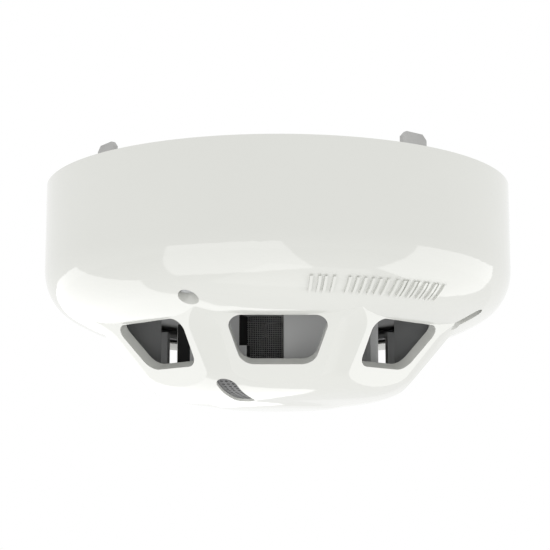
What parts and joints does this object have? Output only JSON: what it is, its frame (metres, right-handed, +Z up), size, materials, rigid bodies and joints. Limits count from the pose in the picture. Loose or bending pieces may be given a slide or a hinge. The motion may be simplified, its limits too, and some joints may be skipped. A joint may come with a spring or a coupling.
{
  "type": "heat detector",
  "caption": "Round white ceiling heat detector head with a faceted dome, a ring of windows, a perforated inner chamber and blade terminals on its back.",
  "frame": {"origin": "centre of the back rim, in the plane that meets the mounting base", "axes": "+Z up towards the ceiling, -Y towards the side with the bottom slot left of centre, +X to the right of it"},
  "size_m": [0.1, 0.1, 0.0516],
  "materials": {
    "cover_white": "glossy moulded",
    "housing_white": "satin moulded",
    "guide_grey": "satin moulded",
    "mesh_black": "fine dark mesh",
    "mesh_grey": "perforated strip",
    "terminal_metal": "plated",
    "screw_steel": "bright",
    "board_green": "solder mask",
    "chip_black": "moulded resin",
    "capacitor_tan": "ceramic",
    "resistor_black": "ceramic",
    "can_aluminium": "drawn",
    "reed_glass": "clear",
    "bead_amber": "glass bead",
    "sleeve_grey": "satin",
    "seal_black": "dull",
    "vane_black": "matt",
    "lens_clear": "clear",
    "lens_dark": "dark filter",
    "shield_tin": "tinned"
  },
  "bodies": {
    "head": {"rear_housing": "housing_white", "terminal_blade_1": "terminal_metal", "terminal_blade_2": "terminal_metal", "terminal_blade_3": "terminal_metal", "terminal_blade_4": "terminal_metal", "terminal_rivets": "screw_steel", "circuit_board": "board_green", "board_screws": "screw_steel", "deck_screws": "screw_steel", "microcontroller": "chip_black", "voltage_regulator": "chip_black", "surge_diodes": "chip_black", "chip_capacitors": "capacitor_tan", "chip_resistors": "resistor_black", "reservoir_capacitor": "can_aluminium", "timing_crystal": "can_aluminium", "programming_header": "chip_black", "test_reed_switch": "reed_glass", "chamber_deck": "guide_grey", "deck_seal": "seal_black", "chamber_cage": "guide_grey", "insect_screen": "mesh_black", "labyrinth_vanes": "vane_black", "optics_block": "vane_black", "infrared_emitter": "lens_clear", "photodiode": "lens_dark", "photodiode_shield": "shield_tin", "thermistor_1": "bead_amber", "thermistor_2": "bead_amber", "thermistor_sleeves": "sleeve_grey", "light_pipe_1": "lens_clear", "indicator_led_1": "lens_clear", "light_pipe_2": "lens_clear", "indicator_led_2": "lens_clear"},
    "cover": {"outer_cover": "cover_white", "air_guide_ring": "guide_grey", "air_guide_plates": "guide_grey", "inlet_strip": "mesh_grey"}
  },
  "joints": [
    {"name": "cover_release", "type": "slide", "parent": "head", "child": "cover", "axis": [0, 0, -1], "range_m": [0, 0.06]}
  ]
}
